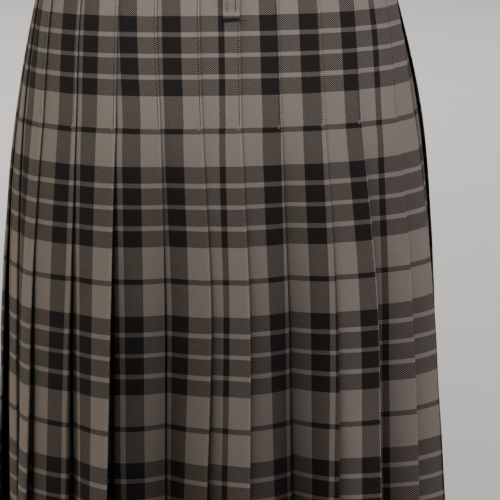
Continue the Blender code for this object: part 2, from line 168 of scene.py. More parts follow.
def unevenness(around, depth):
    # Soft irregular swelling of pressed cloth, growing down the skirt: crossing waves of unlike
    # length, each size sin(a around + b depth + c) sin(d around + e depth + f)
    calm = clothShape["calm"]
    grow = calm + (1 - calm) * eased((depth - clothShape["growFrom"]) / clothShape["growOver"])
    wave = 0.0
    for size, a, b, c, d, e, f in clothShape["waves"]:
        wave = wave + size * np.sin(a * around + b * depth + c) * np.sin(d * around + e * depth + f)
    return clothShape["uneven"] * grow * wave


def gridNormals(points):
    # Cross product of the steps down and along a grid of points
    return unit(np.cross(np.gradient(points, axis=0), np.gradient(points, axis=1)))


def meshPiece(name, points, faces, finish, uv=None, sharp=40, paintedShading=None):
    # Points and quads become one smooth mesh that rides on the root
    mesh = bpy.data.meshes.new(name)
    mesh.from_pydata(points, [], faces.tolist())
    if uv is not None:
        layer = mesh.uv_layers.new(name="cloth")
        corner = np.empty(len(mesh.loops), np.int32)
        mesh.loops.foreach_get("vertex_index", corner)
        layer.data.foreach_set("uv", uv[corner].astype(np.float32).ravel())
    # Painted shade and light, kept as a point attribute that the tartan's colour is multiplied by
    if paintedShading is not None:
        shade = mesh.attributes.new("paintedShading", "FLOAT", "POINT")
        shade.data.foreach_set("value", paintedShading.astype(np.float32).ravel())
    mesh.shade_smooth()
    mesh.set_sharp_from_angle(angle=np.radians(sharp))
    mesh.materials.append(finish["material"])
    piece = placed(name, mesh)
    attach(piece, "root")
    return piece


def gridFaces(rows, columns, closed=False):
    # Quads of a grid; a closed grid joins its last column to its first
    i, j = np.meshgrid(np.arange(rows - 1), np.arange(columns if closed else columns - 1), indexing="ij")
    ahead = (j + 1) % columns
    quads = [i * columns + j, (i + 1) * columns + j, (i + 1) * columns + ahead, i * columns + ahead]
    return np.stack(quads, -1).reshape(-1, 4)


def clothShell(name, points, uv, thick, finish, press=0.0, paintedShading=0.0):
    # Two skins, half a thickness to each side of the middle grid, closed by a rim. thick may differ
    # from point to point, press sinks the outer skin by that much, and the last argument is painted shade
    # and light carried into the cloth's colour.
    rows, columns = points.shape[:2]
    normals = gridNormals(points)
    if np.sum(normals[..., :2] * points[..., :2]) < 0:
        normals = -normals
    half = np.broadcast_to(thick, (rows, columns))[..., None] / 2
    press = np.broadcast_to(press, (rows, columns))[..., None]
    outer = (points + normals * (half - press)).reshape(-1, 3)
    inner = (points - normals * half).reshape(-1, 3)
    count = rows * columns
    skin = gridFaces(rows, columns)
    ids = np.arange(count).reshape(rows, columns)
    loop = np.concatenate([ids[0], ids[1:, -1], ids[-1, -2::-1], ids[-2:0:-1, 0]])
    ahead = np.roll(loop, -1)
    rim = np.stack([loop, ahead, ahead + count, loop + count], 1)
    faces = np.vstack([skin, skin[:, ::-1] + count, rim])
    both = np.vstack([outer, inner])
    flat = uv.reshape(-1, 2)
    shade = np.tile(np.broadcast_to(paintedShading, (rows, columns)).reshape(-1), 2)
    return meshPiece(name, both, facedOut(both, faces), finish, np.vstack([flat, flat]), paintedShading=shade)


def facedOut(points, faces):
    # A closed mesh is turned round if its signed volume, the sum of a.(b x c) over its facets, is
    # below zero
    a, b, c, d = (points[faces[:, k]] for k in range(4))
    volume = np.einsum("ij,ij->", a, np.cross(b, c)) + np.einsum("ij,ij->", a, np.cross(c, d))
    return faces[:, ::-1] if volume < 0 else faces


def setInputs(tree, node, values):
    # An input takes a link where its value is another node's output, or else the plain value
    for key, value in values.items():
        if hasattr(value, "links"):
            tree.links.new(value, node.inputs[key])
        else:
            node.inputs[key].default_value = value


def addMath(tree, operation, *values):
    node = tree.nodes.new("ShaderNodeMath")
    node.operation = operation
    setInputs(tree, node, dict(enumerate(values)))
    return node.outputs[0]


def addMix(tree, share, a, b, kind="RGBA", blend="MIX"):
    node = tree.nodes.new("ShaderNodeMix")
    node.data_type = kind
    node.blend_type = blend
    first, out = {"RGBA": (6, 2), "FLOAT": (2, 0)}[kind]
    setInputs(tree, node, {0: share, first: a, first + 1: b})
    return node.outputs[out]


def addNoise(tree, vector, scale, detail, roughness=0.5):
    node = tree.nodes.new("ShaderNodeTexNoise")
    setInputs(tree, node, {"Vector": vector, "Scale": scale, "Detail": detail, "Roughness": roughness})
    return node.outputs["Fac"]


def addVector(tree, *values):
    node = tree.nodes.new("ShaderNodeCombineXYZ")
    setInputs(tree, node, dict(enumerate(values)))
    return node.outputs[0]


def addBump(tree, shader, height, strength, distance):
    node = tree.nodes.new("ShaderNodeBump")
    setInputs(tree, node, {"Height": height, "Strength": strength, "Distance": distance})
    setInputs(tree, shader, {"Normal": node.outputs[0]})


def newFinish(name):
    made = bpy.data.materials.new(name)
    made.use_nodes = True
    return made, made.node_tree, made.node_tree.nodes["Principled BSDF"]


def addStripes(tree, place):
    # 0 in the dark stripes and 1 in the light ones, over one mirrored repeat
    share = addMath(tree, "FRACT", addMath(tree, "DIVIDE", place, sett["repeat"]))
    half = addMath(tree, "PINGPONG", share, 0.5)
    ramp = tree.nodes.new("ShaderNodeValToRGB")
    ramp.color_ramp.interpolation = "CONSTANT"
    ends = sorted([(end, 1) for end in sett["darkTo"]] + [(end, 0) for end in sett["lightTo"]])
    stops = [(0.0, 0)] + [(end / (sett["repeat"] / 2), light) for end, light in ends]
    while len(ramp.color_ramp.elements) < len(stops):
        ramp.color_ramp.elements.new(1.0)
    for element, (at, light) in zip(ramp.color_ramp.elements, stops):
        element.position = at
        element.color = (light, light, light, 1)
    setInputs(tree, ramp, {0: addMath(tree, "MULTIPLY", half, 2.0)})
    return ramp.outputs[0]


tartanLook = {
    "light": (0.475, 0.410, 0.354, 1),
    "dark": (0.0330, 0.0297, 0.0280, 1),
    "yarnContrast": 0.08,
    "fluff": 0.10,
    # How dark the painted shade between the twill's ribs is
    "ribShadeDepth": 0.70,
    "mixedShade": 0.37,
    "mixedRib": 0.6,
    "wander": 0.25,
    "wanderScale": (0.03, 0.035),
    "yarnScale": 0.9,
    "yarnRun": 0.03,  # how fast a yarn changes along its length
    "fluffScale": 0.35,
    "roughness": 0.9,
    "sheen": 0.03,
    "sheenRoughness": 0.5,
    "shine": 0.12,
    "bump": 0.5,
    "bumpDepth": 0.00015,
}


def makeTartan():
    # Two-up two-down twill: the warp lies on top where (warp thread - weft thread) mod 4 < 2, and
    # each thread takes the light or dark of the stripe that it belongs to
    look = tartanLook
    made, tree, shader = newFinish("tartanTwill")

    def calc(operation, *values):
        return addMath(tree, operation, *values)

    uv = tree.nodes.new("ShaderNodeUVMap")
    uv.uv_map = "cloth"
    split = tree.nodes.new("ShaderNodeSeparateXYZ")
    setInputs(tree, split, {0: uv.outputs[0]})
    across, down = split.outputs[0], split.outputs[1]

    # No thread runs quite straight
    wander, (scale, otherScale) = look["wander"], look["wanderScale"]
    drift = addNoise(tree, uv.outputs[0], scale, 1.0)
    driftOther = addNoise(tree, addVector(tree, down, across), otherScale, 1.0)
    across = calc("ADD", across, calc("MULTIPLY_ADD", drift, wander, -wander / 2))
    down = calc("ADD", down, calc("MULTIPLY_ADD", driftOther, wander, -wander / 2))

    warp = calc("MULTIPLY", across, sett["warpPerUnit"])
    weft = calc("MULTIPLY", down, sett["weftPerUnit"])
    warpThread, weftThread = calc("FLOOR", warp), calc("FLOOR", weft)
    turn = calc("FLOORED_MODULO", calc("SUBTRACT", warpThread, weftThread), 4.0)
    warpUp = calc("LESS_THAN", turn, 1.5)

    warpLight, weftLight = addStripes(tree, across), addStripes(tree, down)
    light = addMix(tree, warpUp, weftLight, warpLight)
    # Yarns differ a little from each other and along their length
    warpPlace = addVector(tree, warpThread, calc("MULTIPLY", weft, look["yarnRun"]))
    weftPlace = addVector(tree, calc("MULTIPLY", warp, look["yarnRun"]), weftThread, 7.0)
    warpYarn, weftYarn = (addNoise(tree, at, look["yarnScale"], 1.0) for at in (warpPlace, weftPlace))
    yarn = addMix(tree, warpUp, weftYarn, warpYarn, "FLOAT")
    fluff = addNoise(tree, addVector(tree, warp, weft, 3.0), look["fluffScale"], 3.0, 0.7)
    tone = calc("MULTIPLY_ADD", yarn, look["yarnContrast"] * 2, 1 - look["yarnContrast"])
    tone = calc("MULTIPLY", tone, calc("MULTIPLY_ADD", fluff, look["fluff"] * 2, 1 - look["fluff"]))
    # The slanting ribs, as painted shade between them: 1 - depth (1 - cos(pi/2 (warp - weft - 1/2))) / 2,
    # lightest along the warp's floats. Where yarns of two colours cross, they are lightest along the light
    # yarn's floats, and
    # fainter, and the light yarn is shaded by the dark.
    contrast = calc("SUBTRACT", warpLight, weftLight)
    mixed = calc("ABSOLUTE", contrast)
    ribShare = calc("MULTIPLY_ADD", contrast, look["mixedRib"], calc("SUBTRACT", 1.0, mixed))
    slant = calc("SUBTRACT", calc("SUBTRACT", warp, weft), 0.5)
    ribShade = calc("MULTIPLY", calc("COSINE", calc("MULTIPLY", slant, np.pi / 2)), ribShare)
    half = look["ribShadeDepth"] / 2
    tone = calc("MULTIPLY", tone, calc("MULTIPLY_ADD", ribShade, half, 1 - half))
    tone = calc("MULTIPLY", tone, calc("MULTIPLY_ADD", mixed, -look["mixedShade"], 1.0))
    # Painted shade where the cloth lies deep between two pleats and close under the next fold edge, and
    # painted highlight along fold edges and on some faces
    paintedShading = tree.nodes.new("ShaderNodeAttribute")
    paintedShading.attribute_name = "paintedShading"
    tone = calc("MULTIPLY", tone, calc("SUBTRACT", 1.0, paintedShading.outputs["Fac"]))
    colour = addMix(tree, light, look["dark"], look["light"])

    # Each float is round across its thread
    rounds = [calc("SINE", calc("MULTIPLY", calc("FRACT", thread), np.pi)) for thread in (weft, warp)]
    addBump(tree, shader, addMix(tree, warpUp, *rounds, "FLOAT"), look["bump"], look["bumpDepth"])
    setInputs(tree, shader, {
        "Base Color": addMix(tree, 1.0, colour, addVector(tree, tone, tone, tone), blend="MULTIPLY"),
        "Roughness": look["roughness"],
        "Sheen Weight": look["sheen"],
        "Sheen Roughness": look["sheenRoughness"],
        "Specular IOR Level": look["shine"],
    })
    return {"material": made, "slot": "tartan"}


def mottledFinish(name, slot, look):
    # Two colours, and two roughnesses where they differ, mixed by one noise over the place. Pebbled
    # grain rises with the distance from the middle of each cell.
    made, tree, shader = newFinish(name)
    place = tree.nodes.new("ShaderNodeTexCoord").outputs["Object"]
    share = addNoise(tree, place, look["scale"], look["detail"])
    low, high = look["roughness"]
    setInputs(tree, shader, {
        "Base Color": addMix(tree, share, *look["colours"]),
        "Roughness": low if low == high else addMath(tree, "MULTIPLY_ADD", share, high - low, low),
        "Metallic": look.get("metal", 0.0),
    })
    if "pebbles" in look:
        cells = tree.nodes.new("ShaderNodeTexVoronoi")
        setInputs(tree, cells, {"Vector": place, "Scale": look["pebbles"]})
        addBump(tree, shader, cells.outputs["Distance"], look["bump"], look["bumpDepth"])
    return {"material": made, "slot": slot}


# Sewing thread, finely mottled as twisted strands are
threadLook = {"roughness": (0.7, 0.7), "scale": 2500, "detail": 1.0}
darkLook = {**threadLook, "colours": ((0.0132, 0.0120, 0.0114, 1), (0.022, 0.020, 0.019, 1))}
lightLook = {**threadLook, "colours": ((0.252, 0.228, 0.204, 1), (0.42, 0.38, 0.34, 1))}

# Paler and duller where it has bent and rubbed
leatherLook = {
    "colours": ((0.016, 0.014, 0.013, 1), (0.045, 0.038, 0.033, 1)),
    "roughness": (0.34, 0.5),
    "scale": 60,
    "detail": 3.0,
    "pebbles": 1100,
    "bump": 0.3,
    "bumpDepth": 0.0002,
}

# Polished plating with faint rubbing marks
nickelLook = {
    "colours": ((0.55, 0.53, 0.50, 1), (0.70, 0.69, 0.67, 1)),
    "roughness": (0.14, 0.30),
    "scale": 240,
    "detail": 4.0,
    "metal": 1.0,
}

tartan = makeTartan()
darkThread = mottledFinish("darkThread", "tartan", darkLook)
lightThread = mottledFinish("lightThread", "tartan", lightLook)
leather = mottledFinish("strapLeather", "strap_leather", leatherLook)
nickel = mottledFinish("buckleNickel", "buckle_metal", nickelLook)
print("finishes made")

clothShape = {
    "thick": 0.0008,
    "wall": 0.0011,  # the thickness that what lies on the cloth is set clear of
    "uneven": 0.0005,
    "calm": 0.25,  # the share of it at the waist
    "growFrom": 0.16,
    "growOver": 0.30,
    "waves": [(1.0, 61, 9, 0.7, 11, 23, 0.0), (0.6, 113, -31, 2.1, -7, 41, 1.0)],
    "rowsDown": 132,
}

pleats = {
    "openBy": 0.560,
    "openPower": 0.9,
    "openBeyond": 0.4,
    "pitchAtFell": 0.0015,
    "pitchAtHem": 0.0026,
    "seamGap": 0.0003,
    "underStart": 0.0063,
    "edgeDepths": [0.0, 0.070, 0.178, 0.350, 0.516],
    "firstSeam": [-289.0, -308.0, -325.0, -343.0, -352.0],
    # Each fold edge's place (mm) at the edge depths, then how far the edge, the start of the face and
    # the face's swell stand out at the hem (mm)
    "folds": [
        [-235.0, -250.0, -265.0, -282.0, -290.0, 6.5, 0.0, 1.5],
        [-201.0, -214.0, -226.0, -240.0, -246.0, -4.0, -8.0, 2.5],
        [-165.0, -176.0, -186.0, -197.0, -202.0, 12.0, -12.0, 2.5],
        [-129.0, -138.0, -145.0, -153.0, -158.0, 2.5, 1.5, 1.5],
        [-94.0, -99.3, -104.4, -109.0, -112.2, 27.0, -9.5, 4.0],
        [-59.0, -63.2, -62.3, -62.6, -65.8, -19.0, 1.5, 6.5],
        [-22.0, -23.7, -23.5, -18.8, -25.0, 9.5, -25.5, 2.5],
        [12.5, 13.5, 12.4, 16.2, 13.5, 20.0, -4.0, 1.5],
        [46.0, 48.9, 49.7, 55.6, 59.3, -21.5, 1.5, 5.5],
        [84.5, 89.0, 91.1, 97.6, 95.9, 17.0, -36.5, 6.5],
        [120.0, 126.5, 129.7, 138.0, 135.6, 19.0, 4.0, 1.5],
        [158.0, 172.6, 176.3, 185.1, 187.1, 11.0, -27.0, 2.5],
        [191.0, 205.0, 213.0, 227.0, 231.0, 14.0, -5.5, 2.0],
        [223.0, 238.0, 250.0, 269.0, 276.0, 2.0, -8.0, 2.5],
        [254.0, 270.0, 287.0, 310.0, 319.0, -2.5, -8.0, 1.5],
    ],
    # Where each fold edge falls in the check at the top, how many units farther on at the hem, as
    # the pleats are laid a little aslant, and the width of one unit there (mm)
    "check": [52, 17, 131, 54, 134, 132.6, 131.6, 15.9, 51.6, 54.0, 51.8, 19.1, 34, 68, 103],
    "aslant": [4, 4, 4, 4, 0, 2.9, 6.7, 6.6, 6.0, 6.4, -0.4, 5.5, 4, 4, 4],
    "unit": [1.03, 1.03, 1.03, 1.03, 0.99, 1.055, 1.07, 1.08, 1.055, 1.08, 1.0, 1.3, 1.1, 1.03, 1.03],
    "runOn": {"check": 143, "aslant": 4, "unit": 1.03},  # the same three beyond the last pleat
    "panels": {
        "pleats_left_side": (0, 3),
        "pleats_left_back": (4, 7),
        "pleats_right_back": (8, 10),
        "pleats_right_side": (11, 14),
    },
    # How much lighter each face is at the hem, below zero darker: painted light and shade for how each face
    # catches the light
    "paintedFaceLight": [0, 0, 0, 0, 0, -0.07, -0.08, 0.07, 0.08, 0.06, 0.3, 0.04, 0.02, 0, 0],
    # Painted shade and light: darker in valleys between pleats (deep, spare, nearest), under the next fold
    # edge (edge, pressed, openOver, edgeReach) and on hidden cloth (hidden), and a painted highlight along a
    # face's own fold edge (rim, rimReach)
    "paintedShading": {
        "deep": 0.65,
        "spare": 0.005,
        "nearest": 0.002,
        "edge": 0.92,
        "pressed": 0.6,  # the share of edge that is left where the pleats are pressed flat
        "openOver": 0.2,
        "edgeReach": 0.0007,
        "rim": 0.18,
        "rimReach": 0.0008,
        "hidden": 0.4,
    },
    "stitchInset": 0.0011,
    "grooveDepth": 0.00080,
    "grooveWidth": 0.00050,
    "grooveTop": 0.036,
    "grooveFade": 0.004,
    "grooveColumns": 12,  # the groove bends so many columns of points beside each fold edge
}


def pitchAt(depth):
    # From one layer of a pleat to the next: pressed flat to the fell, loose at the hem
    fall = np.maximum(0.0, (depth - body["fell"]) / (body["length"] - body["fell"]))
    return pleats["pitchAtFell"] + (pleats["pitchAtHem"] - pleats["pitchAtFell"]) * fall


def edgeAt(depth, row):
    # A row of places (mm) at the edge depths, as a smooth line down the cloth
    return curveThrough(depth, pleats["edgeDepths"], np.array(row) / 1000)


def pleatSizes(depth):
    # Edge places, lifts, tucks and bows for each depth, one column for each pleat
    folds = np.array(pleats["folds"]) / 1000
    seam = edgeAt(depth, pleats["firstSeam"])
    edges = curveThrough(depth, pleats["edgeDepths"], folds[:, :5].T)
    last = edges[:, -1:] + pleats["underStart"] - pleats["seamGap"]
    edges = np.hstack([seam[:, None], edges, last])
    swing, pitch = swingAt(depth)[:, None], pitchAt(depth)[:, None]
    lift, tuck, bow = (folds[None, :, k] * swing for k in (5, 6, 7))
    tuck = np.minimum(tuck, np.hstack([lift[:, :1], lift[:, :-1] - 2 * pitch]))
    tuck[:, 0] = lift[:, 0]
    end = lift[:, -1:] - 2 * pitch
    return {
        "edges": edges,
        "lift": np.hstack([lift, end]),
        "tuck": np.hstack([tuck, end]),
        "bow": np.hstack([bow, 0 * end]),
        "pitch": pitch,
    }


def faceRelief(size, pleat, back, share):
    # back 0 is the pleat's own face: its two ends and a swell between. Under one pleat it lies below
    # that pleat's face by two layers, more toward the open edge, and under two by two layers more.
    if back == 0:
        lift, tuck, bow = (size[k][:, pleat : pleat + 1] for k in ("lift", "tuck", "bow"))
        return tuck + (lift - tuck) * share + 4 * bow * share * (1 - share)
    if back == 1:
        step = size["lift"][:, pleat - 1 : pleat] - size["tuck"][:, pleat : pleat + 1]
        drop = 2 * size["pitch"] + (step - 2 * size["pitch"]) * share
        return faceRelief(size, pleat - 1, 0, share) - drop
    return faceRelief(size, pleat - 1, 1, share) - 2 * size["pitch"]


def underRelief(size, pleat, back, share):
    # The layer running back under the face, halfway down to the next pleat's tucked part
    upper = faceRelief(size, pleat, back, share)
    spare = upper - faceRelief(size, pleat + 1, back + 1, share) - 2 * size["pitch"]
    ease = 0.5 * np.minimum(1.0, 2 * (1 - share)) if back == 0 else 0.5
    return upper - size["pitch"] - spare * ease


def pleatPath(size, first, last):
    # The cloth's middle line, layer by layer: tucked part, face, fold edge, run back, inner fold
    arounds, reliefs, owners, shown, folds = [], [], [], [], {}
    edges, pitch = size["edges"], size["pitch"]
    count = len(pleats["folds"])
    width = np.diff(edges, axis=1)

    def lay(pleat, back, share, relief, inset=0.0):
        zone = pleat - back
        across = edges[:, zone : zone + 1] + width[:, zone : zone + 1] * share - inset
        arounds.append(across)
        reliefs.append(relief(size, pleat, back, share - inset / width[:, zone : zone + 1]))
        owners.extend([pleat] * across.shape[1])
        shown.extend([back == 0 and relief is faceRelief] * across.shape[1])

    def turn(centre, height, way, owner):
        # A half turn down about a point, half a pitch in radius; way 1 bulges ahead, as the fold edge
        # whose upper part shows, and -1 back
        angle = np.linspace(np.pi / 2, -np.pi / 2, 7)[None, 1:-1]
        arounds.append(centre + way * pitch / 2 * np.cos(angle))
        reliefs.append(height + pitch / 2 * np.sin(angle))
        owners.extend(owner)
        shown.extend([way > 0] * 3 + [False] * (len(owner) - 3))

    # Columns of points: shares of a face, distances from its fold edge (mm), shares of a hidden layer
    faceShares = np.array([[0.0, 0.03, 0.042, 0.055, 0.07, 0.09, 0.13, 0.20, 0.28, 0.36, 0.44, 0.52, 0.60,
                            0.68, 0.76, 0.83, 0.885]])
    nearEdge = np.array([[3.2, 2.5, 2.05, 1.7, 1.4, 1.1, 0.8, 0.5, 0.22, 0.0]]) / 1000
    layerShares = np.array([[0.0, 0.12, 0.3, 0.5, 0.7, 0.88]])
    farShares = np.array([[0.5, 0.66, 0.83]])
    firstShares = np.array([[0.15, 0.3, 0.5, 0.7, 0.88]])
    for pleat in range(first, last + 1):
        if pleat == 1:
            lay(pleat, 1, firstShares, faceRelief)
        elif pleat > 1:
            lay(pleat, 2, farShares, faceRelief)
            lay(pleat, 1, layerShares, faceRelief)
        lay(pleat, 0, faceShares, faceRelief)
        lay(pleat, 0, np.ones((1, nearEdge.shape[1])), faceRelief, nearEdge)
        folds[pleat] = len(owners) - 1
        turn(edges[:, pleat + 1 : pleat + 2], reliefs[-1][:, -1:] - pitch / 2, 1, [pleat] * 5)
        back = firstShares if pleat == 0 else layerShares
        lay(pleat, 0, np.hstack([[[1.0]], back[:, ::-1]]), underRelief)
        if pleat > 0:
            lay(pleat, 1, farShares[:, ::-1], underRelief)
        if pleat < last or pleat == count - 1:
            turn(arounds[-1][:, -1:], reliefs[-1][:, -1:] - pitch / 2, -1, [pleat] * 3 + [pleat + 1] * 2)
    if last == count - 1:
        lay(count, 2, farShares, faceRelief)
        lay(count, 1, layerShares, faceRelief)
        lay(count, 0, np.array([[0.0, 0.5, 1.0]]), faceRelief)
        folds[count] = len(owners) - 1
    return np.hstack(arounds), np.hstack(reliefs), np.array(owners), np.array(shown), folds


depths = np.linspace(0.0, body["length"], clothShape["rowsDown"])
sizes = pleatSizes(depths)


def clothDown(depth):
    # The cloth is eased in toward the waist, where its rows lie a little lower
    sunk = sett["easing"] * np.maximum(0.0, sett["easedTo"] - depth) ** 2
    return (depth - sunk - sett["downZero"]) / sett["downUnit"]


def clothUv(across, depth):
    return np.stack([across, np.broadcast_to(clothDown(depth), across.shape)], 2)


def paintedShadingOf(around, relief, owner):
    # Painted shade and light for the tartan's colour. Each point is darkened by how deep it lies between
    # its neighbours: the steepest rise to a pleat on the left is max((height there - height here - spare)
    # / distance), and the same on the right; with each as the sine of its angle, the darkening is their
    # mean. The cloth gets painted shade close under the next pleat's fold edge and a painted highlight
    # along its own, both falling off as e^-(distance / reach), and each face is painted lighter or darker at
    # the hem.
    shape = pleats["paintedShading"]
    places, heights = [], []
    for pleat in range(len(pleats["folds"])):
        share = np.linspace(0.1, 1.0, 8)[None]
        start, end = sizes["edges"][:, pleat : pleat + 1], sizes["edges"][:, pleat + 1 : pleat + 2]
        places.append(start + (end - start) * share)
        heights.append(faceRelief(sizes, pleat, 0, share))
    places, heights = np.hstack(places)[:, None, :], np.hstack(heights)[:, None, :]
    away = places - around[..., None]
    rise = (heights - relief[..., None] - shape["spare"]) / np.maximum(np.abs(away), shape["nearest"])
    sines = []
    for side in (away < 0, away > 0):
        steepest = np.max(np.where(side, rise, 0.0), axis=2)
        sines.append(steepest / np.sqrt(1 + steepest**2))
    opened = eased((depths[:, None] - body["fell"]) / shape["openOver"])
    bulge = sizes["pitch"] / 2 + clothShape["thick"] / 2
    under = np.maximum(0.0, around - sizes["edges"][:, owner] - bulge)
    edge = shape["edge"] * (shape["pressed"] + (1 - shape["pressed"]) * opened)
    edge = edge * np.exp(-under / (shape["edgeReach"] * (1 + opened)))
    rim = shape["rim"] * np.exp(-np.abs(around - sizes["edges"][:, owner + 1]) / shape["rimReach"])
    # Painted light and shade on each face, growing toward the hem
    paintedFaceLight = 1 + np.array(pleats["paintedFaceLight"])[owner] * swingAt(depths)[:, None]
    return 1 - (1 - shape["deep"] * (sines[0] + sines[1]) / 2) * (1 - edge) * (1 + rim) * paintedFaceLight


def pleatedPanel(node, first, last):
    around, relief, owner, shown, folds = pleatPath(sizes, first, last)
    down = depths[:, None]

    # The row of stitches pulls a groove beside each fold edge, down to the fell
    count, fade = len(pleats["folds"]), pleats["grooveFade"]
    inset = sizes["edges"][:, np.minimum(owner, count - 1) + 1] - around
    sewn = eased((down - pleats["grooveTop"]) / fade) * eased((body["fell"] + fade / 2 - down) / fade)
    groove = bell((inset - pleats["stitchInset"]) / pleats["grooveWidth"])
    onFace = np.zeros(len(owner))
    for fold in folds.values():
        onFace[max(0, fold - pleats["grooveColumns"]) : fold + 1] = 1
    relief = relief - pleats["grooveDepth"] * groove * sewn * onFace
    points = wrap(around, relief + unevenness(around, down), depths)

    run = runAlong(np.stack([around, relief], 2))
    start = run[:, [folds.get(p, folds[max(folds)]) for p in owner]]
    known, aslant, widths = (np.array(pleats[k] + [pleats["runOn"][k]]) for k in ("check", "aslant", "unit"))
    across = known[owner] + (aslant * swingAt(down))[:, owner] + (run - start) / (widths[owner] / 1000)
    # Cloth that no face shows gets a fixed painted shade, and shown faces their painted shade and light
    paintedShading = np.full(around.shape, pleats["paintedShading"]["hidden"])
    shown &= owner < count
    paintedShading[:, shown] = paintedShadingOf(around[:, shown], relief[:, shown], owner[shown])
    name = node.title().replace("_", "")
    piece = clothShell(name, points, clothUv(across, down), clothShape["thick"], tartan, paintedShading=paintedShading)
    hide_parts(node)
    clothLength = float(run[:, -1].mean())
    return clothLength


for node, (first, last) in pleats["panels"].items():
    print(node, "pleated, cloth", round(pleatedPanel(node, first, last), 3))


stitchShape = {"pitch": 0.0023, "length": 0.0020, "radius": 0.00038, "sides": 6, "sunk": 0.3, "seat": 0.0002}

# Short threads over the end of each seam, as inset from the fold edge and drop below the fell
tackShape = {
    "rows": [(0.0031, -0.0012), (0.0034, 0.0), (0.0037, 0.0011)],
    "edge": 0.0006,
    "stitch": {**stitchShape, "pitch": 0.0024, "length": 0.0024, "radius": 0.00032},
}


def stitchRow(line, outward, shape):
    # Short threads along a line: each rises out of the cloth, runs on top and goes down again. Its
    # height is r (1 - sunk) at the middle and -r at the ends, and a ring is carried along it.
    run = runAlong(line)
    count = max(1, int(run[-1] / shape["pitch"]))
    share = np.array([0.0, 0.18, 0.5, 0.82, 1.0])
    rise = np.array([-1.0, 0.5, 1 - shape["sunk"], 0.5, -1.0]) * shape["radius"]
    slim = np.array([0.35, 0.9, 1.0, 0.9, 0.35])
    at = (np.arange(count) * shape["pitch"])[:, None] + share * shape["length"]
    spine = np.stack([np.interp(at, run, line[:, k]) for k in range(3)], 2)
    up = np.stack([np.interp(at, run, outward[:, k]) for k in range(3)], 2)
    spine = spine + up * rise[None, :, None]
    rings = ringsRound(unit(np.gradient(spine, axis=1)), up, shape["sides"])
    points = spine[:, :, None] + rings * (shape["radius"] * slim)[None, :, None, None]
    return points.reshape(-1, len(share), shape["sides"], 3)


def stitchPiece(name, rows, finish):
    # Rings of all stitches joined into one mesh, each stitch closed at both ends
    points = np.concatenate(rows)
    count, rings, sides = points.shape[:3]
    walls = gridFaces(rings, sides, closed=True)
    ends = []
    for ring, order in ((0, 1), (rings - 1, -1)):
        ids = ring * sides + np.arange(sides)[::order]
        ends += [ids[[0, 1, 2, 3]], ids[[0, 3, 4, 5]]]
    flat = points.reshape(-1, 3)
    one = facedOut(flat, np.vstack([walls, np.array(ends)]))
    faces = (one[None] + np.arange(count)[:, None, None] * rings * sides).reshape(-1, 4)
    return meshPiece(name, flat, faces, finish)


def pleatEdgeLine(pleat, inset, lift, top, bottom):
    # A line down one pleat's face beside its fold edge, on the cloth's outside
    down = np.linspace(top, bottom, 90)
    size = pleatSizes(down)
    edge = size["edges"][:, pleat + 1] - inset
    width = size["edges"][:, pleat + 1] - size["edges"][:, pleat]
    relief = faceRelief(size, pleat, 0, (1 - inset / width)[:, None])[:, 0]
    relief = relief + unevenness(edge, down) + lift
    return lineOut(lambda rise: wrap(edge[:, None], relief[:, None] + rise, down)[:, 0])


seamRows, tackRows = [], []
for pleat in range(len(pleats["folds"])):
    lift = clothShape["thick"] / 2 - pleats["grooveDepth"] * 0.9
    line, out = pleatEdgeLine(pleat, pleats["stitchInset"], lift, pleats["grooveTop"] + 0.004, body["fell"])
    seamRows.append(stitchRow(line, out, stitchShape))
    for inset, drop in tackShape["rows"]:
        level, lift = body["fell"] + drop, clothShape["thick"] / 2
        ends = [pleatEdgeLine(pleat, at, lift, level, level + 0.01) for at in (inset, tackShape["edge"])]
        line, out = (np.array([end[k][0] for end in ends]) for k in (0, 1))
        tackRows.append(stitchRow(line, out, tackShape["stitch"]))
stitchPiece("PleatSeams", seamRows, darkThread)
stitchPiece("PleatTacks", tackRows, lightThread)
print("pleats sewn down")

apronShape = {
    "ease": 0.040,
    "columns": 170,
    "over": {
        "node": "over_apron",
        "edge": [240.0, 253.0, 271.0, 292.0, 303.0],
        "stand": 0.0056,
        "wave": 0.0030,
        "waves": 3.0,
        # Soft folds: share across, share at the hem, depth where each starts, half width, height (mm)
        "folds": [
            (0.13, 0.10, 0.21, 0.030, 2.4),
            (0.24, 0.27, 0.34, 0.022, -1.2),
            (0.41, 0.44, 0.26, 0.034, 1.6),
            (0.60, 0.56, 0.38, 0.026, -1.3),
            (0.72, 0.75, 0.30, 0.024, 1.9),
            (0.90, 0.91, 0.23, 0.020, 1.2),
        ],
    },
    "under": {
        "node": "under_apron",
        "edge": [-350.0, -373.0, -396.0, -416.0, -426.0],
        "stand": -0.0020,
        "wave": -0.0015,
        "waves": 1.0,
        "folds": [(0.30, 0.33, 0.30, 0.03, -1.6), (0.66, 0.62, 0.36, 0.025, -1.1)],
    },
    "rowFromEdge": 0.006,
    "stitch": {**stitchShape, "pitch": 0.0032, "length": 0.0022},
}


